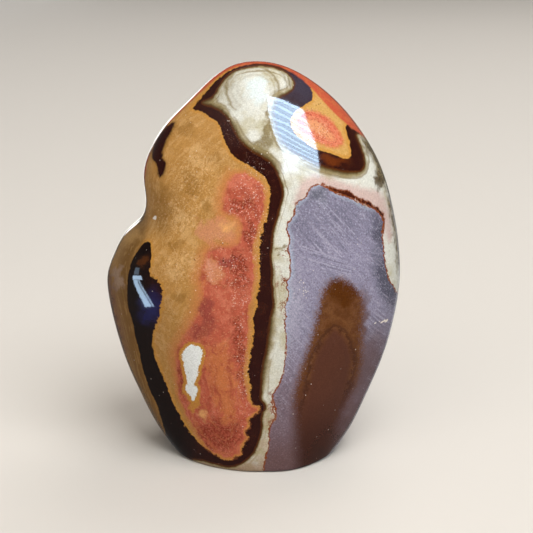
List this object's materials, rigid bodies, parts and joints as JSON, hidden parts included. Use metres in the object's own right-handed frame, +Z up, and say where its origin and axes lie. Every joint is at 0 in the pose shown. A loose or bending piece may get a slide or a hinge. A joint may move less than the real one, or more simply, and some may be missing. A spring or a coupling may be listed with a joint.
{
  "type": "polychrome jasper freeform",
  "caption": "Polished standing freeform of banded polychrome jasper: a rounded, slightly notched slab of stone on a small flat ground foot.",
  "frame": {"origin": "middle of the stone's box, on the flat foot that it stands on", "axes": "+Z up along the stone's height, -Y out of the show face, +X to the right of the show face"},
  "size_m": [0.1066, 0.0702, 0.1424],
  "materials": {
    "polished_jasper": "high polish, mustard, brick red, chocolate, cream and lilac-grey patches"
  },
  "bodies": {
    "root": {"jasper_freeform": "polished_jasper"}
  },
  "joints": []
}
